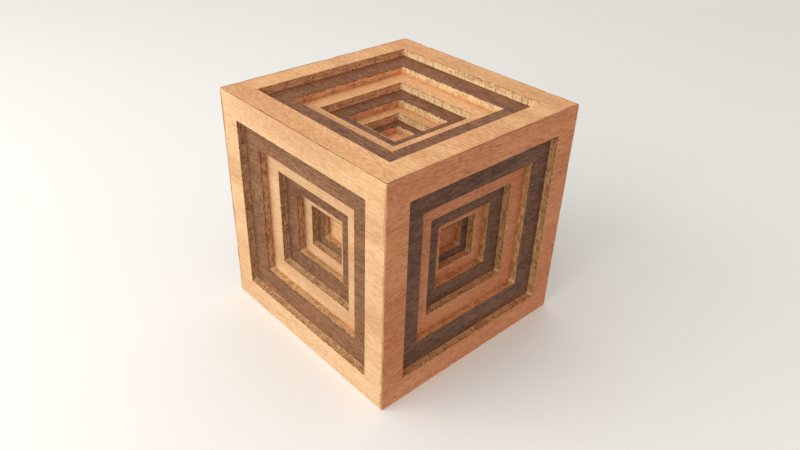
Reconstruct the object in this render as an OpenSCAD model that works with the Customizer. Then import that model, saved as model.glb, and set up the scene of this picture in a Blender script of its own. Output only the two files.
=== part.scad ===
// Wooden puzzle box: a cube of six panels, each built up from seven thin boards whose square
// holes step down to a small closed pit. The top panel is a lift-off lid. The floor of its pit
// is a turning disc: a cam under it drives four bolts out into the side panels, which locks the lid.
// Millimetres. The origin is at the middle of the bottom face, +Z is up, the front is -Y.

/* [Box] */
// Outside length of an edge of the cube
box_size = 76; // [74:0.5:84]
// Thickness of every board in the six panels
board_t = 2.5; // [2.4:0.05:2.6]
// Clearance all round the lid, measured across its mitred edge on the level
lid_gap = 0.3; // [0.1:0.05:0.4]

/* [Square holes] */
// Width of the hole in the outermost board of a panel
hole_1 = 60; // [57:0.5:63]
// Width of the hole in the second board
hole_2 = 45; // [42:0.5:48]
// Width of the hole in the third board
hole_3 = 33.4; // [31:0.2:36]
// Width of the hole in the fourth board
hole_4 = 22.2; // [20:0.2:25]
// Width of the hole in the fifth board
hole_5 = 14.6; // [13:0.2:17]
// Width of the hole in the sixth board, over the floor of the pit
hole_6 = 9.2; // [8:0.2:10]

/* [Lock] */
// How far each bolt moves out, which is also how far the cam carries its pin
bolt_throw = 2.5; // [2:0.1:2.5]
// Angle the knob turns through between open and locked
knob_turn = 60; // [50:1:65]
// Width of a bolt
bolt_w = 6; // [5:0.2:6.4]
// Height of a bolt
bolt_h = 3.6; // [3:0.1:3.8]
// Radius of a follower pin
pin_r = 1; // [0.8:0.1:1.1]
// Distance from the knob's axis to a follower pin when the lid is unlocked
pin_orbit = 10; // [9.5:0.1:10.4]
// Thickness of the cam
cam_t = 2; // [1.8:0.1:2]
// Radius of the cam
cam_r = 14.6; // [14.4:0.1:14.8]
// Gap between parts that slide or turn on each other
running_gap = 0.1; // [0.06:0.01:0.12]

/* [Hidden] */
$fn = 96;
SIDES = ["front", "right", "back", "left", "bottom"];
BOLT_SIDES = ["front", "right", "back", "left"];
PANELS = concat(["lid"], SIDES);
holes = [hole_1, hole_2, hole_3, hole_4, hole_5, hole_6];
levels = len(holes) + 1;
function board_name(panel, level) =
    level == levels ? str(panel, "_floor") : str(panel, "_frame_", level);

// Each panel is drawn flat with its outer face up and is then turned to its place on the cube
function panel_turn(panel) =
    panel == "front" ? [90, 0, 0] :
    panel == "right" ? [90, 0, 90] :
    panel == "back" ? [90, 0, 180] :
    panel == "left" ? [90, 0, -90] :
    panel == "bottom" ? [180, 0, 0] : [0, 0, 0];
// Angle about Z at which the bolt for a side points
function bolt_angle(side) =
    side == "right" ? 0 : side == "back" ? 90 : side == "left" ? 180 : 270;

beech = "burlywood";
walnut = "saddlebrown";
birch = "wheat";
brass = "goldenrod";
steel = "silver";

// How far a cutting shape runs past the face that it cuts
cut = 1;

// Everything below is measured from the cube's centre
half = box_size / 2;
cavity = half - levels * board_t;
pit_floor = half - (levels - 1) * board_t;
function depth(level) = half - level * board_t;

// Knob: a disc that covers the square hole over it out to past the corners
knob_lip = 1;
knob_r = hole_6 / 2 * sqrt(2) + knob_lip;
knob_top = pit_floor - running_gap / 2;
cam_top = cavity - running_gap;
cam_low = cam_top - cam_t;
spigot_w = 6;
knob_screw_r = 1.2;
knob_screw_head_r = 2.6;
knob_screw_head_t = 1.2;
knob_screw_reach = 3.2;
driver_slot_w = 0.6;
driver_slot_d = 0.6;

// Guide block and its cover, hung under the lid's floor board clear of the side panels
guide_side_gap = 0.3;
guide_half = cavity - guide_side_gap;
pocket_r = cam_r + 2 * running_gap;
pocket_low = cam_low - running_gap;
bolt_top = pocket_low - running_gap;
bolt_low = bolt_top - bolt_h;
guide_low = bolt_low - running_gap;
cover_t = 2;
cover_low = guide_low - cover_t;
cover_screw_r = 1.2;
cover_screw_inset = 4.2;
cover_screw_at = guide_half - cover_screw_inset;
cover_screw_len = 5.5;
cover_screw_head_r = 2.4;

// Bolts: the tail stays clear of the knob screw and the nose stops level with the guide
tail_behind_pin = 2;
bolt_tail = pin_orbit - tail_behind_pin;
pin_hole_floor = 0.8;
pin_low = bolt_low + pin_hole_floor;
pin_top = cam_top - running_gap;
mortise_gap = 0.2;
mortise_low = bolt_low - mortise_gap;
mortise_high = bolt_top + mortise_gap;

// Cam slot: an Archimedean spiral, so that the bolts move in step with the turn
slot_half = pin_r + running_gap;
slot_run_on = 1.5;
slot_steps = 24;
end_steps = 12;
heading_step = 0.01;
function slot_r(a) = pin_orbit + bolt_throw * a / knob_turn;
function slot_point(a) = slot_r(a) * [cos(a), -sin(a)];
function slot_heading(a) =
    let (along = slot_point(a + heading_step) - slot_point(a - heading_step)) atan2(along[1], along[0]);
function ring_point(centre, r, a) = centre + r * [cos(a), sin(a)];
slot_from = -slot_run_on;
slot_to = knob_turn + slot_run_on;
slot_angles = [for (i = [0:slot_steps]) slot_from + (slot_to - slot_from) * i / slot_steps];
slot_outline = concat(
    [for (a = slot_angles) ring_point(slot_point(a), slot_half, slot_heading(a) - 90)],
    [for (i = [1:end_steps - 1])
        ring_point(slot_point(slot_to), slot_half, slot_heading(slot_to) - 90 + 180 * i / end_steps)],
    [for (i = [slot_steps:-1:0])
        ring_point(slot_point(slot_angles[i]), slot_half, slot_heading(slot_angles[i]) + 90)],
    [for (i = [1:end_steps - 1])
        ring_point(slot_point(slot_from), slot_half, slot_heading(slot_from) + 90 + 180 * i / end_steps)]
);

// A bar right across the cube whose two long edges slope in at 45 degrees
module mitred_bar(high, low, inset) {
    rotate([90, 0, 0])
        linear_extrude(height = 2 * box_size, center = true)
            polygon([
                [-(high - inset), high], [high - inset, high],
                [low - inset, low], [-(low - inset), low]
            ]);
}

// A square board, mitred on its four edges; level 1 is the outermost
module mitred_board(level, inset) {
    intersection() {
        mitred_bar(depth(level - 1), depth(level), inset);
        rotate([0, 0, 90]) mitred_bar(depth(level - 1), depth(level), inset);
    }
}

module square_hole(width) {
    translate([-width / 2, -width / 2, 0]) cube([width, width, box_size]);
}

// One of the six boards with a square hole; odd boards are beech, even ones walnut
module frame_board(panel, level) {
    color(level % 2 == 1 ? beech : walnut)
        difference() {
            mitred_board(level, panel == "lid" ? lid_gap : 0);
            square_hole(holes[level - 1]);
        }
}

// The board that closes a pit; a side panel's has a mortise for its bolt
module floor_board(panel) {
    color(beech)
        difference() {
            mitred_board(levels, 0);
            if (panel != "bottom")
                translate([-bolt_w / 2 - mortise_gap, mortise_low, 0])
                    cube([bolt_w + 2 * mortise_gap, mortise_high - mortise_low, box_size]);
        }
}

// The lid's floor board, bored right through for the knob
module lid_floor() {
    color(beech)
        difference() {
            mitred_board(levels, lid_gap);
            cylinder(r = knob_r + running_gap, h = box_size);
        }
}

module board(panel, level) {
    if (level < levels) frame_board(panel, level);
    else if (panel == "lid") lid_floor();
    else floor_board(panel);
}

// Knob: the disc seen at the bottom of the lid's pit, with a square spigot that drives the cam
module turn_knob() {
    color(beech)
        difference() {
            union() {
                translate([0, 0, cam_top]) cylinder(r = knob_r, h = knob_top - cam_top);
                translate([-spigot_w / 2, -spigot_w / 2, cam_low]) cube([spigot_w, spigot_w, cam_t]);
            }
            translate([0, 0, cam_low]) cylinder(r = knob_screw_r, h = knob_screw_reach);
        }
}

// Cam: a disc with a square hole for the spigot and four spiral slots for the pins
module cam_disc() {
    color(birch)
        translate([0, 0, cam_low])
            difference() {
                cylinder(r = cam_r, h = cam_t);
                translate([-spigot_w / 2, -spigot_w / 2, -cut]) cube([spigot_w, spigot_w, cam_t + 2 * cut]);
                for (side = BOLT_SIDES)
                    rotate([0, 0, bolt_angle(side)])
                        translate([0, 0, -cut])
                            linear_extrude(height = cam_t + 2 * cut) polygon(slot_outline);
            }
}

// Screw that holds the cam on the knob, with its slotted head underneath
module knob_screw() {
    color(steel)
        difference() {
            union() {
                translate([0, 0, cam_low - knob_screw_head_t])
                    cylinder(r = knob_screw_head_r, h = knob_screw_head_t);
                translate([0, 0, cam_low]) cylinder(r = knob_screw_r, h = knob_screw_reach);
            }
            translate([-knob_screw_head_r - cut, -driver_slot_w / 2, cam_low - knob_screw_head_t - cut])
                cube([2 * (knob_screw_head_r + cut), driver_slot_w, driver_slot_d + cut]);
        }
}

// Guide block: a round pocket for the cam over two crossed channels for the bolts
module bolt_guide() {
    channel_w = bolt_w + 2 * running_gap;
    color(birch)
        difference() {
            translate([-guide_half, -guide_half, guide_low])
                cube([2 * guide_half, 2 * guide_half, cavity - guide_low]);
            translate([0, 0, pocket_low]) cylinder(r = pocket_r, h = box_size);
            for (side = BOLT_SIDES)
                rotate([0, 0, bolt_angle(side)])
                    translate([-channel_w / 2, -channel_w / 2, guide_low - cut])
                        cube([box_size, channel_w, pocket_low - guide_low + cut]);
            at_cover_screws() cylinder(r = cover_screw_r, h = cover_screw_len);
        }
}

module at_cover_screws() {
    for (x = [-1, 1], y = [-1, 1])
        translate([x * cover_screw_at, y * cover_screw_at, cover_low]) children();
}

module cover_screw_body() {
    cylinder(r1 = cover_screw_head_r, r2 = cover_screw_r, h = cover_screw_head_r - cover_screw_r);
    cylinder(r = cover_screw_r, h = cover_screw_len);
}

// Cover: closes the channels from below, countersunk for its four screws
module guide_cover() {
    color(birch)
        difference() {
            translate([-guide_half, -guide_half, cover_low])
                cube([2 * guide_half, 2 * guide_half, cover_t]);
            at_cover_screws() cover_screw_body();
        }
}

module cover_screws() {
    color(steel)
        at_cover_screws()
            difference() {
                cover_screw_body();
                translate([-cover_screw_head_r - cut, -driver_slot_w / 2, -cut])
                    cube([2 * (cover_screw_head_r + cut), driver_slot_w, driver_slot_d + cut]);
            }
}

// Bolt, lying along +X, with a blind hole for its pin
module bolt(side) {
    color(beech)
        rotate([0, 0, bolt_angle(side)])
            difference() {
                translate([bolt_tail, -bolt_w / 2, bolt_low])
                    cube([guide_half - bolt_tail, bolt_w, bolt_h]);
                translate([pin_orbit, 0, pin_low]) cylinder(r = pin_r, h = box_size);
            }
}

// Follower pin, pressed into its bolt and standing in a slot of the cam
module follower_pin(side) {
    color(brass)
        rotate([0, 0, bolt_angle(side)])
            translate([pin_orbit, 0, pin_low]) cylinder(r = pin_r, h = pin_top - pin_low);
}

module seat() {
    translate([0, 0, half]) children();
}

for (panel = PANELS) for (level = [1:levels])
    seat() rotate(panel_turn(panel)) board(panel, level);
seat() turn_knob();
seat() cam_disc();
seat() knob_screw();
seat() bolt_guide();
seat() guide_cover();
seat() cover_screws();
for (side = BOLT_SIDES) {
    seat() bolt(side);
    seat() follower_pin(side);
}
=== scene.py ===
"""Wooden puzzle box: detailed boards, wood and metal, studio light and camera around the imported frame."""

import math

import bpy
import numpy as np
from mathutils import Euler, Matrix, Vector


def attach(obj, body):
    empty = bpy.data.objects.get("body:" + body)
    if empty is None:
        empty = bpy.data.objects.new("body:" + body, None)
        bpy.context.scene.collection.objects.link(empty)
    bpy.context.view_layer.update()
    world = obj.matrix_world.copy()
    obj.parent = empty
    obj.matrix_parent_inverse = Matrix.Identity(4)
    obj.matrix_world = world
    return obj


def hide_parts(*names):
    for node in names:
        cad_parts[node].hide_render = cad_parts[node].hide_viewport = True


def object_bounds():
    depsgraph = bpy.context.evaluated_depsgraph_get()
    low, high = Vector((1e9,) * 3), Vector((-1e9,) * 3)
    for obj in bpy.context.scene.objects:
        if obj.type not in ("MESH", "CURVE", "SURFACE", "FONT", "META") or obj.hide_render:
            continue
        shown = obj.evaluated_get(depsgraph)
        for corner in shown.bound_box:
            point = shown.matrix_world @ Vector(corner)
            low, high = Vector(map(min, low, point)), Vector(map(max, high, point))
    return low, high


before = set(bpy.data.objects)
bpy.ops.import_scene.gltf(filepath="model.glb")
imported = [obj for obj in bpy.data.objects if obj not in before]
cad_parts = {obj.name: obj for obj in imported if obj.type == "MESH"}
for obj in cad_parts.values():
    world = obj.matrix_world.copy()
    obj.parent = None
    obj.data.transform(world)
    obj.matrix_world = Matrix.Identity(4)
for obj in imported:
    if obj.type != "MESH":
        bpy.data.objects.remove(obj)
cad_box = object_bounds()

MM = 0.001
CENTRE = (cad_box[0] + cad_box[1]) / 2
HALF = (cad_box[1].z - cad_box[0].z) / 2
BOARD_LEVELS = 6
SIDES = ("front", "right", "back", "left")

# Each panel is built flat, outer face up and grain along X, and is then turned to its place on the cube.
PANEL_TURNS = {
    "lid": (0, 0, 0),
    "front": (90, 0, 0),
    "right": (90, 0, 90),
    "back": (90, 0, 180),
    "left": (90, 0, -90),
    "bottom": (180, 0, 0),
}


def turn_matrix(panel):
    return Euler([math.radians(a) for a in PANEL_TURNS[panel]]).to_matrix()


# ---------------------------------------------------------------- node trees

def add(tree, kind, settings=None, **inputs):
    """Adds a node. Inputs are named with underscores for spaces; a socket is linked and a value is set."""
    node = tree.nodes.new("ShaderNode" + kind)
    for key, value in (settings or {}).items():
        setattr(node, key, value)
    for key, value in inputs.items():
        socket = node.inputs[key.replace("_", " ")]
        if isinstance(value, bpy.types.NodeSocket):
            tree.links.new(value, socket)
        else:
            socket.default_value = value
    return node


def arith(tree, operation, a, b):
    node = tree.nodes.new("ShaderNodeMath")
    node.operation = operation
    for socket, value in zip(node.inputs, (a, b)):
        if isinstance(value, bpy.types.NodeSocket):
            tree.links.new(value, socket)
        else:
            socket.default_value = value
    return node.outputs[0]


def stretch(tree, vector, factors):
    """The vector with each part multiplied by its own factor."""
    node = add(tree, "VectorMath", {"operation": "MULTIPLY"})
    tree.links.new(vector, node.inputs[0])
    node.inputs[1].default_value = factors
    return node.outputs[0]


def noise(tree, vector, factors, detail=2.0, roughness=0.5, distortion=0.0):
    """Noise whose features are one over the factors long, in the vector's own units."""
    node = add(tree, "TexNoise", Vector=stretch(tree, vector, factors), Scale=1.0, Detail=detail,
               Roughness=roughness, Distortion=distortion)
    return node.outputs["Factor"] if "Factor" in node.outputs else node.outputs["Fac"]


def spots(tree, vector, factors, size, chance):
    """Separate spots, 1 inside and 0 outside. Places lie one over the factors apart, a share of them,
    chance, has a spot, and size is the largest spot's half width as a part of that distance."""
    cells = add(tree, "TexVoronoi", Vector=stretch(tree, vector, factors), Scale=1.0)
    luck = add(tree, "SeparateColor", None, Color=cells.outputs["Color"]).outputs["Red"]
    reach = step(tree, luck, 1 - chance, 1.0, 0.0, size)
    return step(tree, arith(tree, "SUBTRACT", reach, cells.outputs["Distance"]), 0.0, 0.12)


def step(tree, value, low, high, start=0.0, end=1.0):
    """A smooth step of value from low to high, from start to end."""
    node = add(tree, "MapRange", {"interpolation_type": "SMOOTHSTEP"}, Value=value, From_Min=low,
               From_Max=high, To_Min=start, To_Max=end)
    return node.outputs["Result"]


def blend(tree, share, a, b, mode="MIX"):
    """Colour a turned into colour b by share."""
    node = tree.nodes.new("ShaderNodeMix")
    node.data_type = "RGBA"
    node.blend_type = mode
    for socket, value in zip((node.inputs[0], node.inputs[6], node.inputs[7]), (share, a, b)):
        if isinstance(value, bpy.types.NodeSocket):
            tree.links.new(value, socket)
        else:
            socket.default_value = (*value, 1.0) if isinstance(value, tuple) else value
    return node.outputs[2]


def new_material(name):
    material = bpy.data.materials.new(name)
    material.use_nodes = True
    tree = material.node_tree
    tree.nodes.clear()
    return material, tree


def close_material(tree, colour, roughness, height=None, bump=0.3, depth=0.05, **sockets):
    """Ends a tree in a Principled shader. Height is in units of depth, which is in millimetres."""
    shader = add(tree, "BsdfPrincipled", None, Base_Color=colour, Roughness=roughness, **sockets)
    if height is not None:
        relief = add(tree, "Bump", None, Height=height, Strength=bump, Distance=depth * MM)
        tree.links.new(relief.outputs[0], shader.inputs["Normal"])
    out = add(tree, "OutputMaterial")
    tree.links.new(shader.outputs[0], out.inputs["Surface"])


# ---------------------------------------------------------------- wood

# Colours are plain linear ones. Sizes of grain are given as how many features lie in a millimetre, first
# along the fibres and then across them.
BEECH = {
    "pale": (0.94, 0.59, 0.325), "deep": (0.60, 0.295, 0.13),
    "warm": (0.82, 0.41, 0.22), "cool": (0.84, 0.52, 0.26),
    "fleck": (0.36, 0.14, 0.055), "rough": (0.52, 0.68),
    "tone": (0.012, 0.085), "hue": (0.025, 0.06), "band": (0.05, 0.42),
    "fibre": (0.28, 1.8), "line": (0.60, 2.5),
    "tone_span": (0.12, 0.80), "hue_share": 0.60, "band_share": 0.18, "fibre_share": 0.52, "line_share": 0.60,
    "fleck_at": (0.34, 1.9), "fleck_size": 0.48, "fleck_chance": 0.60, "grime_and_shade": 0.30,
}
WALNUT = {
    "pale": (0.37, 0.20, 0.115), "deep": (0.115, 0.053, 0.028), "warm": (0.285, 0.110, 0.062),
    "cool": (0.195, 0.130, 0.078), "fleck": (0.050, 0.024, 0.014), "rough": (0.48, 0.64),
    "tone": (0.04, 0.16), "hue": (0.04, 0.14), "band": (0.06, 0.45),
    "fibre": (0.32, 1.7), "line": (0.60, 2.4),
    "tone_span": (0.28, 0.66), "hue_share": 0.55, "band_share": 0.34, "fibre_share": 0.56, "line_share": 0.56,
    "fleck_at": (0.40, 1.6), "fleck_size": 0.46, "fleck_chance": 0.6, "grime_and_shade": 0.08,
}
PALE_WOOD = {
    "pale": (0.84, 0.62, 0.38), "deep": (0.64, 0.42, 0.22),
    "warm": (0.76, 0.52, 0.30), "cool": (0.76, 0.56, 0.32),
    "fleck": (0.46, 0.27, 0.13), "rough": (0.54, 0.70),
    "tone": (0.012, 0.08), "hue": (0.025, 0.06), "band": (0.05, 0.4),
    "fibre": (0.22, 1.1), "line": (0.50, 2.0),
    "tone_span": (0.0, 1.0), "hue_share": 0.75, "band_share": 0.2, "fibre_share": 0.35, "line_share": 0.35,
    "fleck_at": (0.4, 1.5), "fleck_size": 0.45, "fleck_chance": 0.45, "grime_and_shade": 0.0,
}


def veneer_colour(tree, grain, look, fleck_share, figure=1.0):
    """Colour and relief of a planed face. Grain is a position in millimetres with the fibres along X, and
    figure is how strong the pattern of the grain is."""
    tone = noise(tree, grain, (*look["tone"], 0.1), detail=3.0, distortion=0.3)
    hue = noise(tree, grain, (*look["hue"], 0.13), detail=3.0)
    band = noise(tree, grain, (*look["band"], 0.2), detail=3.0, distortion=0.2)
    fibre = noise(tree, grain, (*look["fibre"], 0.6), detail=2.0, roughness=0.6, distortion=0.05)
    line = noise(tree, grain, (*look["line"], 0.6), detail=1.0, distortion=0.05)
    colour = blend(tree, step(tree, tone, 0.32, 0.68, *look["tone_span"]), look["pale"], look["deep"])
    colour = blend(tree, step(tree, hue, 0.30, 0.48, look["hue_share"], 0.0), colour, look["warm"])
    colour = blend(tree, step(tree, hue, 0.52, 0.70, 0.0, look["hue_share"]), colour, look["cool"])
    for pattern, share in ((band, "band_share"), (fibre, "fibre_share"), (line, "line_share")):
        dark = step(tree, pattern, 0.48, 0.70, 0.0, look[share])
        light = step(tree, pattern, 0.30, 0.50, 0.7 * look[share], 0.0)
        colour = blend(tree, arith(tree, "MULTIPLY", dark, figure), colour, look["deep"])
        colour = blend(tree, arith(tree, "MULTIPLY", light, figure), colour, look["pale"])
    flecks = spots(tree, grain, (*look["fleck_at"], 0.5), look["fleck_size"], look["fleck_chance"])
    cluster = step(tree, noise(tree, grain, (0.06, 0.20, 0.2), detail=2.0), 0.38, 0.62)
    flecks = arith(tree, "MULTIPLY", flecks, cluster)
    colour = blend(tree, arith(tree, "MULTIPLY", flecks, fleck_share), colour, look["fleck"])
    height = arith(tree, "SUBTRACT", fibre, arith(tree, "MULTIPLY", flecks, fleck_share))
    return colour, height, fibre


def grain_attribute(tree):
    return add(tree, "Attribute", {"attribute_name": "grain"}).outputs["Vector"]


def attribute_parts(tree, name):
    """The three parts of a vector attribute."""
    vector = add(tree, "Attribute", {"attribute_name": name}).outputs["Vector"]
    return list(add(tree, "SeparateXYZ", None, Vector=vector).outputs)


def tint_attribute(tree):
    return add(tree, "Attribute", {"attribute_name": "tint"}).outputs["Color"]


def grain_of_node(tree, panel, shift):
    """The grain position of a CAD node, from its place in the frame, turned flat as its panel was."""
    place = add(tree, "TexCoord").outputs["Object"]
    turn = turn_matrix(panel).inverted().to_euler()
    node = add(tree, "Mapping", {"vector_type": "POINT"}, Vector=place, Rotation=turn,
               Scale=(1 / MM, 1 / MM, 1 / MM), Location=shift)
    return node.outputs[0]


def plain_face(name, look, panel, shift, tint):
    """The planed face of a CAD node whose grain lies as in a panel, multiplied by one tint."""
    material, tree = new_material(name)
    colour, height, fibre = veneer_colour(tree, grain_of_node(tree, panel, shift), look, 0.3)
    colour = blend(tree, 1.0, colour, tint, "MULTIPLY")
    close_material(tree, colour, step(tree, fibre, 0.3, 0.7, *look["rough"]), height, bump=0.35, depth=0.06,
                   Specular_IOR_Level=0.3)
    return material


def board_face(name, look):
    """The planed face of a board, darkened at the foot of the wall above it by dust and adhesive, and by
    painted shade.
    """
    material, tree = new_material(name)
    grain = grain_attribute(tree)
    fleck_share, figure, _ = attribute_parts(tree, "strength")
    colour, height, fibre = veneer_colour(tree, grain, look, fleck_share, figure)
    colour = blend(tree, 1.0, colour, tint_attribute(tree), "MULTIPLY")
    # The darkening on the lid's rim is soiling. At the foot of each wall it is soiling and painted shade.
    _, _, dirt_and_shade = attribute_parts(tree, "wear")
    blot = noise(tree, grain, (0.4, 0.4, 0.4), detail=2.0)
    grime_and_shade = arith(tree, "MULTIPLY", step(tree, dirt_and_shade, 0.0, 1.0),
                  step(tree, blot, 0.25, 0.7, 0.2 * look["grime_and_shade"], look["grime_and_shade"]))
    colour = blend(tree, grime_and_shade, colour, look["fleck"])
    close_material(tree, colour, step(tree, fibre, 0.3, 0.7, *look["rough"]), height, bump=0.35, depth=0.06,
                   Specular_IOR_Level=0.3)
    return material


# The cut edges of the boards: the core's colour under the skin and at the foot, and how strong the foot,
# the dark line under the skin, the fibres and the pores are. Upright is how far the fibres stand upright on
# the long sides.
EDGE_LOOKS = {
    "beech": {"core": (0.81, 0.52, 0.265), "foot": (0.90, 0.65, 0.38), "foot_at": (1.5, 3.0),
              "foot_share": 0.85, "under": 0.85, "fibre": 0.58, "pores": 0.85, "upright": 0.9},
    # The walnut boards' orange foot is a painted reflection of the beech face below them
    "walnut": {"core": (0.82, 0.60, 0.345), "foot": (0.70, 0.375, 0.17), "foot_at": (1.7, 3.3),
               "foot_share": 0.90, "under": 0.70, "fibre": 0.66, "pores": 0.55, "upright": 0.55},
}
PORE = (0.14, 0.06, 0.025)
STAIN = (0.38, 0.185, 0.075)
UNDERLINE = (0.20, 0.085, 0.035)
PALE_CORE = (0.96, 0.78, 0.49)


def board_edge(name, look, edge_look):
    """The cut edge of a board: a ragged skin of the face's wood over a paler core with pores, fibres and
    stains. The attribute edge holds, in millimetres, the run along the edge, the depth below the face, and
    1 on a side along the grain. The attribute wear holds the thickness of the skin and the distance from
    the nearest corner."""
    material, tree = new_material(name)
    edge = add(tree, "Attribute", {"attribute_name": "edge"}).outputs["Vector"]
    _, depth, long_side = attribute_parts(tree, "edge")
    skin, to_corner, _ = attribute_parts(tree, "wear")
    fleck_share, figure, hatch = attribute_parts(tree, "strength")
    skin_colour, _, _ = veneer_colour(tree, grain_attribute(tree), look, fleck_share, figure)
    # Core, of another shade towards the foot, with stained patches. On walnut boards the orange foot is a
    #     painted reflection of the beech face below.
    foot_from = noise(tree, edge, (0.5, 0.15, 1.0), detail=2.0)
    foot_depth = arith(tree, "ADD", depth, arith(tree, "MULTIPLY", foot_from, 1.4))
    colour = blend(tree, step(tree, foot_depth, *edge_look["foot_at"], 0.0, edge_look["foot_share"]),
                   edge_look["core"], edge_look["foot"])
    patch = noise(tree, edge, (0.22, 0.45, 1.0), detail=4.0, roughness=0.6)
    stained = step(tree, patch, 0.50, 0.62, 0.0, 0.52)
    colour = blend(tree, arith(tree, "MULTIPLY", stained, hatch), colour, STAIN)
    # Fibres stand upright where the cut crosses the grain of the core, and lie along it on the other sides
    upright = noise(tree, edge, (2.5, 0.34, 1.0), detail=1.0, roughness=0.6, distortion=0.5)
    level = noise(tree, edge, (0.45, 1.2, 1.0), detail=2.0, roughness=0.7, distortion=0.5)
    fibre = blend(tree, arith(tree, "MULTIPLY", long_side, edge_look["upright"]), level, upright)
    strong = edge_look["fibre"]
    for ramp, other in (((0.48, 0.62, 0.0, strong), STAIN), ((0.34, 0.47, strong, 0.0), PALE_CORE)):
        share = step(tree, fibre, *ramp)
        colour = blend(tree, arith(tree, "MULTIPLY", share, hatch), colour, other)
    # Pores lie in loose rows and clusters
    cluster = step(tree, noise(tree, edge, (0.16, 0.6, 1.0), detail=1.0), 0.36, 0.56, 0.15, 1.0)
    pores = spots(tree, edge, (1.3, 1.8, 1.0), 0.50, 0.80)
    pores = arith(tree, "MULTIPLY", arith(tree, "MULTIPLY", pores, cluster), edge_look["pores"])
    colour = blend(tree, pores, colour, PORE)
    # The saw left the last millimetre before a corner cleaner
    corner_end = arith(tree, "ADD", to_corner, arith(tree, "MULTIPLY", patch, 0.9))
    colour = blend(tree, 1.0, colour, tint_attribute(tree), "MULTIPLY")
    colour = blend(tree, step(tree, corner_end, 0.7, 1.5, 0.70, 0.0), colour, PALE_CORE)
    # Skin: the face's wood, with a dark broken line under it
    grit = noise(tree, edge, (2.6, 1.2, 1.0), detail=2.0, roughness=0.7)
    below_skin = arith(tree, "SUBTRACT", arith(tree, "SUBTRACT", depth, skin),
                       arith(tree, "MULTIPLY", arith(tree, "SUBTRACT", grit, 0.5), 0.6))
    broken = step(tree, noise(tree, edge, (0.7, 0.2, 1.0), detail=2.0), 0.38, 0.58, 0.15 * edge_look["under"],
                  edge_look["under"])
    near_skin = step(tree, arith(tree, "ABSOLUTE", below_skin, 0.0), 0.06, 0.32, 1.0, 0.0)
    under = arith(tree, "MULTIPLY", arith(tree, "MULTIPLY", near_skin, broken), hatch)
    colour = blend(tree, step(tree, below_skin, -0.04, 0.05, 1.0, 0.0), colour, skin_colour)
    colour = blend(tree, under, colour, UNDERLINE)
    height = arith(tree, "SUBTRACT", fibre, pores)
    close_material(tree, colour, step(tree, fibre, 0.3, 0.7, 0.72, 0.88), height, bump=0.6, depth=0.12,
                   Specular_IOR_Level=0.2)
    return material


MITRE_PALE, MITRE_DEEP, MITRE_SPECK = (0.62, 0.375, 0.168), (0.50, 0.285, 0.120), (0.26, 0.15, 0.07)
# Painted shade on the core further into the seam
MITRE_SEAM_SHADE = (0.66, 0.31, 0.12)
# The dark line along the joint: partly adhesive, partly painted shadow in the seam
GLUE_AND_SEAM_SHADOW = (0.14, 0.065, 0.03)


def mitre_material(name):
    """The eased corner of the cube, where the core shows and a thin dark line runs along the joint, partly
    adhesive and partly painted shadow in the seam. Further into the joint the core is painted darker, as
    shade.
    """
    material, tree = new_material(name)
    grain = grain_attribute(tree)
    cloud = noise(tree, grain, (0.35, 0.35, 0.35), detail=4.0, roughness=0.65)
    speck = noise(tree, grain, (1.4, 1.4, 1.4), detail=1.0)
    _, depth, _ = attribute_parts(tree, "edge")
    colour = blend(tree, step(tree, cloud, 0.32, 0.70), MITRE_PALE, MITRE_DEEP)
    colour = blend(tree, step(tree, speck, 0.58, 0.72, 0.0, 0.4), colour, MITRE_SPECK)
    # A thin dark line along the joint, partly adhesive and partly painted shadow, then painted shade further
    # in
    glue_and_shadow = step(tree, noise(tree, grain, (0.25, 0.25, 0.25), detail=2.0), 0.35, 0.6, 0.35, 0.85)
    colour = blend(tree, arith(tree, "MULTIPLY", step(tree, depth, 0.085, 0.115), glue_and_shadow), colour, GLUE_AND_SEAM_SHADOW)
    colour = blend(tree, step(tree, depth, 0.13, 0.25), colour, MITRE_SEAM_SHADE)
    close_material(tree, colour, step(tree, cloud, 0.3, 0.7, 0.6, 0.75), speck, bump=0.3, depth=0.08,
                   Specular_IOR_Level=0.25)
    return material


FACES = {"beech": board_face("beech_face", BEECH), "walnut": board_face("walnut_face", WALNUT)}
EDGES = {
    "beech": board_edge("beech_edge", BEECH, EDGE_LOOKS["beech"]),
    "walnut": board_edge("walnut_edge", WALNUT, EDGE_LOOKS["walnut"]),
}
MITRE = mitre_material("mitre_corner")
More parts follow.
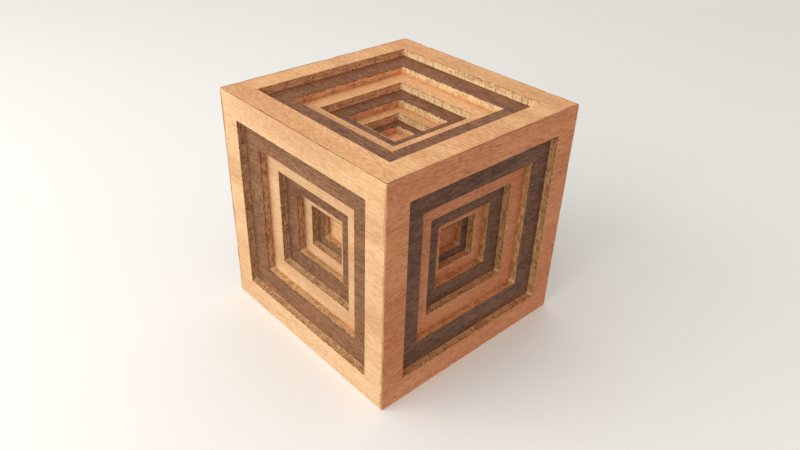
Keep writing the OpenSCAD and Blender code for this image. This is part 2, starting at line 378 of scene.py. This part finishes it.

# Each panel has looks of its own, partly as if cut from other sheets and partly painted light and shade:
# the tints were matched to each side as it was lit. So the right panel's redder beech and edges paint its
# warm shade, the lid's lighter end edges paint light, and deeper paints shade on each board further down
# the pit. Beech and walnut multiply the plain colours of its faces, long those of its cut edges along the
# grain, end those across it, deeper the face of each deeper board once more, and floor the beech of the
# closed board at the bottom of its pit. Flecks is how strong its flecks are, figure how strong the grain of
# its beech and of its walnut is, and hatch how strong the marks on its cut edges are. The skin over its
# walnut edges is ragged by so many mm.
PANEL_LOOKS = {
    "lid": {"beech": (1.09, 1.0, 0.89), "walnut": (1.08, 0.83, 0.62), "long": (1.08, 1.10, 1.08),
            "end": (1.01, 0.75, 0.725), "deeper": 0.97, "flecks": 0.42, "figure": (1.08, 1.3), "hatch": 0.72,
            "ragged": 0.40, "floor": (1.0, 0.98, 0.95)},
    "front": {"beech": (0.94, 1.01, 1.05), "walnut": (1.09, 1.02, 0.88), "long": (0.82, 0.72, 0.635),
              "end": (0.78, 0.68, 0.70), "deeper": 0.96, "flecks": 0.22, "figure": (0.72, 1.2), "hatch": 0.95,
              "ragged": 0.34, "floor": (0.92, 0.82, 0.72)},
    "right": {"beech": (1.05, 0.77, 0.715), "walnut": (0.96, 1.0, 1.13), "long": (0.91, 0.61, 0.49),
              "end": (0.845, 0.74, 0.625), "deeper": 0.96, "flecks": 0.60, "figure": (1.1, 1.1),
              "hatch": 0.90, "ragged": 0.22, "floor": (0.86, 0.83, 0.88)},
    "back": {"beech": (1.0, 0.92, 0.86), "walnut": (1.0, 1.0, 0.95), "long": (0.86, 0.76, 0.66),
             "end": (0.78, 0.66, 0.60), "deeper": 0.97, "flecks": 0.35, "figure": (1.0, 1.3), "hatch": 0.90,
             "ragged": 0.32, "floor": (0.92, 0.86, 0.82)},
    "left": {"beech": (1.0, 0.84, 0.78), "walnut": (0.95, 1.0, 1.05), "long": (0.86, 0.68, 0.58),
             "end": (0.78, 0.70, 0.62), "deeper": 0.97, "flecks": 0.45, "figure": (1.1, 1.3), "hatch": 0.90,
             "ragged": 0.28, "floor": (0.92, 0.86, 0.82)},
    "bottom": {"beech": (0.97, 0.95, 0.92), "walnut": (1.0, 0.93, 0.88), "long": (1.0, 0.95, 0.90),
               "end": (0.84, 0.64, 0.58), "deeper": 0.97, "flecks": 0.35, "figure": (1.0, 1.3), "hatch": 0.80,
               "ragged": 0.36, "floor": (0.92, 0.86, 0.82)},
}


# ---------------------------------------------------------------- boards

COLUMN = 0.24  # mm between the points along a board's edges
BOARD_KINDS = ("face", "edge", "mitre")
# Cut edges in mm: the arris, the least skin under it, and how far the core lies behind the skin
CUTS = {"beech": (0.12, 0.08, 0.0), "walnut": (0.05, 0.04, 0.03)}
BEECH_TONGUE = 0.15  # how far the skin's tongues reach down on beech, in mm
CALM_CORNER = 0.4  # mm from a corner over which nicks and roughness fade out
FACE_MARGIN = 1.0  # mm from the hole to the nearest ring on the face
EASE_DROP = 0.12  # the most that an eased outer edge drops, in mm
RIM_DIRT = 0.85
SAME_HEIGHT = 0.1  # mm within which points count as at one height
# Dirt fades inwards from the lid's rim, and dirt with painted shade fades inwards from the foot of a wall: mm
# inwards, and the share that is left there
RIM_FADE = ((0.45, 0.7), (1.3, 0.0))
FOOT_FADE = ((0.4, 0.75), (1.5, 0.0))
CORE_RINGS = (0.06, 0.3, 0.55, 0.8)  # places on the core, as shares of the way down it
CORE_ROUGHNESS = ((0.5, 0.09), (2.5, 0.05))  # length and height in mm of the unevenness left by the saw
TOP_OF_SIDE = 0.999  # v past which a point lies on a side panel's upper edge
GRAIN_SPREAD = 400  # mm over which the boards' pieces of veneer are spread


def wood_of(level):
    return "walnut" if level % 2 == 0 else "beech"


def wander(rng, length, spacing, count):
    """Smooth noise from 0 to 1 at count places along a closed line, with features as long as spacing."""
    knots = max(4, round(length / spacing))
    values = rng.random(knots)
    place = np.arange(count) * knots / count
    low = place.astype(int)
    share = place - low
    share = share * share * (3 - 2 * share)
    return values[low % knots] * (1 - share) + values[(low + 1) % knots] * share


def square_path(count):
    """Points round the unit square, count to a side, starting at a corner, and how far each is from a
    corner."""
    run = np.arange(count) / count * 2 - 1
    side = np.ones(count)
    u = np.concatenate([run, side, -run, -side])
    v = np.concatenate([-side, run, side, -run])
    return u, v, 1 - np.minimum(np.abs(u), np.abs(v))


def board_sizes(panel, name):
    """Top and bottom heights, outer half widths there, and the hole's half width, in mm from the cube's
    centre."""
    turn = np.array(turn_matrix(panel))
    points = np.array([v.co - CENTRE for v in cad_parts[name].data.vertices]) @ turn / MM
    top, low = points[:, 2].max(), points[:, 2].min()
    reach = np.abs(points[:, :2]).max(axis=1)
    at_top = reach[points[:, 2] > top - SAME_HEIGHT]
    at_low = reach[points[:, 2] < low + SAME_HEIGHT]
    return top, low, at_top.max(), at_low.max(), reach.min()


def upright_band(panel, u, v):
    """Where an outermost board shows its core in a band along the glued upright edges: on the front and the
    back."""
    return (np.abs(u) > np.abs(v)) & (panel in ("front", "back"))


def outer_ease(panel, u, v, from_corner, wear):
    """How far an outermost board's sharp outer edge is eased back across its face and down its mitre, in
    mm. Wear, from 0 to 1, varies along the edge."""
    lightest, most_wear = 0.03, 0.13
    band, band_varies = 0.42, 0.65
    lid_corner, other_corner = 0.42, 0.16
    near_corner = 0.02
    wanted = lightest + most_wear * wear ** 2
    wanted = np.where(upright_band(panel, u, v), band + band_varies * wear, wanted)
    corner = lid_corner if panel == "lid" else other_corner
    return corner + (wanted - corner) * np.clip(from_corner / near_corner, 0, 1)


def seam_fill(panel, v, wear):
    """How far an outermost board's mitre stands out into the seam between the lid and the box, in mm."""
    on_seam = (panel == "lid") | ((panel in SIDES) & (v > TOP_OF_SIDE))
    least, varies = 0.02, 0.10
    return np.where(on_seam, least + varies * wear ** 2, 0.0)


def hole_above(panel, level):
    """The half width of the hole in the board above."""
    return board_sizes(panel, f"{panel}_frame_{level - 1}")[4]


def outer_rings(panel, level, sizes, path, rng):
    """The rings of a board from its outer lower edge to the part of its face that shows. A ring is its half
    widths, its heights, the kind of the strip that follows it, and how dark it is made: soiling on the
    lid's rim, and soiling with painted shade at the foot of a wall."""
    top, low, outer_top, outer_low, hole = sizes
    u, v, from_corner = path
    around, total = 8 * hole, len(u)
    flat = np.zeros(total)
    if level > 1:
        above = hole_above(panel, level)
        rings = [(flat + outer_low, flat + low, "edge", 0), (flat + outer_top, flat + top, "face", 1),
                 (flat + above, flat + top, "face", 1)]
        # The face is darkened at the foot of the wall above by soiling and painted shade
        return rings + [(flat + above - inwards, flat + top, "face", dirt_and_shade) for inwards, dirt_and_shade in FOOT_FADE]
    ease = outer_ease(panel, u, v, from_corner, wander(rng, around, 3.0, total))
    drop = np.minimum(ease, EASE_DROP)
    fill = np.minimum(seam_fill(panel, v, wander(rng, around, 4.0, total)), drop)
    # The lid's rim is dirty on its two sides across the grain
    rim = np.where((panel == "lid") & (np.abs(u) > np.abs(v)), RIM_DIRT, 0.0)
    rings = [(flat + outer_low, flat + low, "mitre", 0), (outer_top - drop + fill, top - drop, "face", 1),
             (outer_top - ease, flat + top, "face", rim)]
    rings += [(outer_top - ease - inwards, flat + top, "face", dirt_and_shade * rim) for inwards, dirt_and_shade in RIM_FADE]
    return rings + [(flat + (hole + outer_top) / 2, flat + top, "face", 0)]


def hole_rings(sizes, arris, skin, recess, off_corner, rng):
    """The rings of a board from its face down the wall of its hole. The core is a little uneven."""
    top, low, _, _, hole = sizes
    around, total = 8 * hole, len(arris)
    flat = np.zeros(total)
    rings = [(flat + hole + FACE_MARGIN, flat + top, "face", 0), (hole + arris, flat + top, "edge", 0),
             (flat + hole, top - arris, "edge", 0), (flat + hole, top - skin, "edge", 0)]
    for share in CORE_RINGS:
        rough = sum((wander(rng, around, length, total) - 0.5) * reach for length, reach in CORE_ROUGHNESS)
        height = top - skin - (top - low - skin) * share
        rings.append((hole + (recess + rough) * off_corner, height, "edge", 0))
    return rings + [(flat + hole, flat + low, "edge", 0)]


def ring_quads(ring_count, total):
    """Four point numbers for each quad between neighbouring rings, the last of which joins the first."""
    ring = np.arange(ring_count)[:, None] * total
    column = np.arange(total)[None, :]
    following = (column + 1) % total
    next_ring = (ring + total) % (ring_count * total)
    return np.stack([ring + column, ring + following, next_ring + following, next_ring + column], axis=-1)


def board_mesh(panel, level, name, rng):
    """One board with a square hole, as rings of points that follow its section round the hole."""
    looks = PANEL_LOOKS[panel]
    wood = wood_of(level)
    sizes = board_sizes(panel, name)
    top, hole = sizes[0], sizes[4]
    path = square_path(max(24, round(2 * hole / COLUMN)))
    u, v, from_corner = path
    around, total = 8 * hole, len(u)
    to_corner = from_corner * hole
    off_corner = np.clip(to_corner / CALM_CORNER, 0, 1)
    # The arris is crisp apart from a few nicks; under it the skin of veneer ends in ragged tongues
    nick = np.clip(wander(rng, around, 1.0, total) - 0.90, 0, 1) * 2.0 * off_corner
    tongue = np.maximum(wander(rng, around, 0.8, total) ** 3, 0.7 * wander(rng, around, 0.5, total) ** 4)
    least_arris, least_skin, recess = CUTS[wood]
    arris = least_arris + nick
    skin = arris + (least_skin + (looks["ragged"] if wood == "walnut" else BEECH_TONGUE) * tongue)
    rings = outer_rings(panel, level, sizes, path, rng)
    rings += hole_rings(sizes, arris, skin, recess, off_corner, rng)
    half_widths, heights = np.array([r[0] for r in rings]), np.array([r[1] for r in rings])
    points = np.stack([half_widths * u, half_widths * v, heights], axis=-1)
    ring_count = len(rings)
    kinds = np.repeat([BOARD_KINDS.index(r[2]) for r in rings], total).reshape(ring_count, total)
    if level == 1:
        kinds[1, upright_band(panel, u, v)] = BOARD_KINDS.index("mitre")
    shift = rng.random(3) * GRAIN_SPREAD - GRAIN_SPREAD / 2
    each_ring = (ring_count, 1)
    run = np.tile(np.arange(total) * around / total, each_ring)
    long_side = np.tile(np.abs(v) >= np.abs(u), each_ring).astype(float)
    # How dark each ring is made: soiling on the lid's rim, and soiling with painted shade at wall feet
    dirt_and_shade = np.array([np.zeros(total) + r[3] for r in rings])
    strength = (looks["flecks"], looks["figure"][int(wood == "walnut")], looks["hatch"])
    attributes = {
        "grain": points + shift,
        "edge": np.stack([run + shift[0], top - heights, long_side], axis=-1),
        "wear": np.stack([np.tile(skin, each_ring), np.tile(to_corner, each_ring), dirt_and_shade], axis=-1),
        "strength": np.tile(strength, (points.size // 3, 1)),
    }
    return points, ring_quads(ring_count, total), kinds.ravel(), attributes


def make_board(panel, level, rng):
    name = f"{panel}_frame_{level}"
    points, quads, kinds, attributes = board_mesh(panel, level, name, rng)
    mesh = bpy.data.meshes.new(name + "_board")
    mesh.from_pydata(points.reshape(-1, 3) * MM, [], quads.reshape(-1, 4).tolist())
    mesh.polygons.foreach_set("material_index", kinds.astype(np.int32))
    for key, values in attributes.items():
        attribute = mesh.attributes.new(key, "FLOAT_VECTOR", "POINT")
        attribute.data.foreach_set("vector", values.astype(np.float32).ravel())
    wood = wood_of(level)
    for material in (FACES[wood], EDGES[wood], MITRE):
        mesh.materials.append(material)
    looks = PANEL_LOOKS[panel]
    # The tints partly paint light and shade; each board further down is darkened once more as painted shade
    face_tint = np.array(looks[wood]) * looks["deeper"] ** (level - 1)
    # One tint for each kind of face, and a last one for the edges across the grain
    by_kind = np.array([face_tint, looks["long"], (1, 1, 1), looks["end"]]) * (0.97 + 0.06 * rng.random())
    across = attributes["edge"].reshape(-1, 3)[quads[..., 0].ravel(), 2] < 0.5
    tints = by_kind[np.where((kinds == BOARD_KINDS.index("edge")) & across, len(BOARD_KINDS), kinds)]
    tints = np.concatenate([tints, np.ones((len(tints), 1))], axis=1)
    mesh.attributes.new("tint", "FLOAT_COLOR", "CORNER").data.foreach_set(
        "color", np.repeat(tints, 4, axis=0).astype(np.float32).ravel())
    mesh.transform(Matrix.Translation(CENTRE) @ turn_matrix(panel).to_4x4())
    mesh.update()
    piece = bpy.data.objects.new(name + "_board", mesh)
    bpy.context.scene.collection.objects.link(piece)
    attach(piece, "lid" if panel == "lid" else "box")
    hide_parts(name)
    return piece


for panel_number, panel in enumerate(PANEL_TURNS):
    for level in range(1, BOARD_LEVELS + 1):
        make_board(panel, level, np.random.default_rng(100 * panel_number + level))


# ---------------------------------------------------------------- CAD nodes that show as they are

def dress(name, material, ease):
    """Gives a CAD node its material and takes the sharpness off its edges."""
    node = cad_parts[name]
    node.data.materials.clear()
    node.data.materials.append(material)
    weld = node.modifiers.new("weld", "WELD")
    weld.merge_threshold = 0.001 * MM
    bevel = node.modifiers.new("ease", "BEVEL")
    bevel.width = ease * MM
    bevel.segments = 2
    bevel.limit_method = "ANGLE"
    bevel.angle_limit = math.radians(40)
    bevel.harden_normals = True


for number, panel in enumerate(PANEL_TURNS):
    looks = PANEL_LOOKS[panel]
    shift = (37.0 * number, 61.0 * number + 11, 5.0)
    floor_tint = tuple(np.array(looks["beech"]) * looks["floor"])
    floor_wood = plain_face(f"{panel}_floor_wood", BEECH, panel, shift, floor_tint)
    dress(f"{panel}_floor", floor_wood, 0.1)
    if panel == "lid":
        dress("turn_knob", floor_wood, 0.1)


def metal_material(name, colour, roughness):
    material, tree = new_material(name)
    place = stretch(tree, add(tree, "TexCoord").outputs["Object"], (1 / MM, 1 / MM, 1 / MM))
    scratch = noise(tree, place, (0.8, 4.0, 4.0), detail=3.0)
    dull = noise(tree, place, (0.5, 0.5, 0.5), detail=2.0)
    shade = blend(tree, step(tree, dull, 0.35, 0.7, 0.0, 0.5), colour, tuple(0.7 * c for c in colour))
    gloss = step(tree, scratch, 0.3, 0.7, roughness, roughness + 0.15)
    close_material(tree, shade, gloss, scratch, bump=0.15, depth=0.03, Metallic=1.0)
    return material


def plywood_material(name):
    """Pale plywood: a planed face above and below, and plies that show as stripes on the upright edges."""
    material, tree = new_material(name)
    place = stretch(tree, add(tree, "TexCoord").outputs["Object"], (1 / MM, 1 / MM, 1 / MM))
    colour, height, fibre = veneer_colour(tree, place, PALE_WOOD, 0.35)
    parts = add(tree, "SeparateXYZ", None, Vector=place)
    ply = arith(tree, "PINGPONG", parts.outputs["Z"], 0.5)
    stripe = step(tree, ply, 0.16, 0.30)
    upright = add(tree, "SeparateXYZ", None, Vector=add(tree, "NewGeometry").outputs["Normal"]).outputs["Z"]
    on_edge = step(tree, arith(tree, "ABSOLUTE", upright, 0.0), 0.5, 0.8, 1.0, 0.0)
    stripe_colour = blend(tree, stripe, (0.52, 0.33, 0.17), (0.78, 0.58, 0.34))
    colour = blend(tree, on_edge, colour, stripe_colour)
    close_material(tree, colour, step(tree, fibre, 0.3, 0.7, 0.55, 0.72), height, bump=0.3, depth=0.06,
                   Specular_IOR_Level=0.3)
    return material


PLYWOOD = plywood_material("birch_plywood")
STEEL = metal_material("zinc_steel", (0.60, 0.61, 0.63), 0.30)
BRASS = metal_material("brass_rod", (0.80, 0.58, 0.26), 0.25)
for name in ("bolt_guide", "guide_cover", "cam_disc"):
    dress(name, PLYWOOD, 0.15)
for name in ("knob_screw", "cover_screws"):
    dress(name, STEEL, 0.08)
BOLT_SHIFT = (9, 3, 7)
for side in SIDES:
    # The grain runs along the bolt
    grain_as = "right" if side in ("front", "back") else "lid"
    bolt_wood = plain_face(f"bolt_{side}_wood", PALE_WOOD, grain_as, BOLT_SHIFT, (1.0, 1.0, 1.0))
    dress(f"bolt_{side}", bolt_wood, 0.2)
    dress(f"follower_pin_{side}", BRASS, 0.1)


# ---------------------------------------------------------------- floor, light and camera

def add_floor():
    """A pale floor that shows and takes shadows. It throws no light back, as if the box were held in the
    air."""
    mesh = bpy.data.meshes.new("studio_floor")
    reach = 80 * HALF
    mesh.from_pydata([(-reach, -reach, 0), (reach, -reach, 0), (reach, reach, 0), (-reach, reach, 0)], [],
                     [(0, 1, 2, 3)])
    floor = bpy.data.objects.new("studio_floor", mesh)
    bpy.context.scene.collection.objects.link(floor)
    material, tree = new_material("pale_floor")
    close_material(tree, (0.95, 0.945, 0.93, 1.0), 0.9, None, Specular_IOR_Level=0.0)
    mesh.materials.append(material)
    floor.visible_diffuse = floor.visible_glossy = floor.visible_shadow = False


def add_softbox(name, direction, distance, size, light_on_face, colour):
    """A square area light at a distance in half edges, facing the cube. light_on_face is how much of a white
    surface's full brightness it gives to a face turned straight towards it."""
    light = bpy.data.lights.new(name, "AREA")
    light.shape = "SQUARE"
    light.size = size * HALF
    light.energy = light_on_face * (math.pi * distance * HALF) ** 2
    light.color = colour
    lamp = bpy.data.objects.new(name, light)
    bpy.context.scene.collection.objects.link(lamp)
    away = Vector(direction).normalized()
    lamp.location = CENTRE + away * distance * HALF
    lamp.rotation_mode = "QUATERNION"
    lamp.rotation_quaternion = away.to_track_quat("Z", "Y")
    lamp.visible_camera = False


def add_sky(left, right, far_gain, overhead):
    """Soft light from all round. Left and right are the colours on the -X and +X side, each above and below
    the horizon, the right side is brighter towards the back by far_gain, and overhead is added round the
    zenith."""
    world = bpy.data.worlds.new("studio_sky")
    world.use_nodes = True
    tree = world.node_tree
    way = add(tree, "SeparateXYZ", None, Vector=add(tree, "TexCoord").outputs["Generated"])
    height = step(tree, way.outputs["Z"], -0.15, 0.15)
    far = step(tree, way.outputs["Y"], -0.8, 0.8, 1 - far_gain, 1 + far_gain)
    right_colour = blend(tree, height, right[1], right[0])
    far_colour = add(tree, "VectorMath", {"operation": "SCALE"}, Scale=far)
    tree.links.new(right_colour, far_colour.inputs[0])
    colour = blend(tree, step(tree, way.outputs["X"], -0.3, 0.5), blend(tree, height, left[1], left[0]),
                   far_colour.outputs[0])
    colour = blend(tree, step(tree, way.outputs["Z"], 0.3, 0.9), colour, overhead, "ADD")
    tree.links.new(colour, tree.nodes["Background"].inputs["Color"])
    bpy.context.scene.world = world


# Camera place and aim in half edges from the cube's centre, roll in degrees, lens and sensor in mm
CAMERA_PLACE = Vector((3.854, -3.576, 3.178))
CAMERA_AIM = Vector((0.102, -0.028, -0.145))
CAMERA_ROLL = 2.07
CAMERA_LENS = 32.12
CAMERA_SENSOR = 36


def add_camera():
    data = bpy.data.cameras.new("camera")
    data.lens = CAMERA_LENS
    data.sensor_width = CAMERA_SENSOR
    data.clip_start = 0.01
    camera = bpy.data.objects.new("camera", data)
    bpy.context.scene.collection.objects.link(camera)
    camera.location = CENTRE + CAMERA_PLACE * HALF
    aim = (CAMERA_AIM - CAMERA_PLACE).to_track_quat("-Z", "Y")
    camera.rotation_mode = "QUATERNION"
    camera.rotation_quaternion = aim @ Euler((0, 0, math.radians(CAMERA_ROLL))).to_quaternion()
    bpy.context.scene.camera = camera


add_floor()
add_softbox("key", (-0.33, -0.89, 0.30), 14, 17, 0.98, (1.0, 0.985, 0.96))
add_softbox("front_fill", (0.34, -0.94, 0.30), 30, 16, 0.20, (1.0, 0.97, 0.90))
add_sky(((0.72, 0.72, 0.70), (0.22, 0.14, 0.11)), ((0.45, 0.41, 0.37), (0.44, 0.36, 0.32)), 0.25,
        (0.14, 0.14, 0.14))
add_camera()
bpy.context.scene.view_settings.view_transform = "Standard"
bpy.context.scene.view_settings.look = "None"
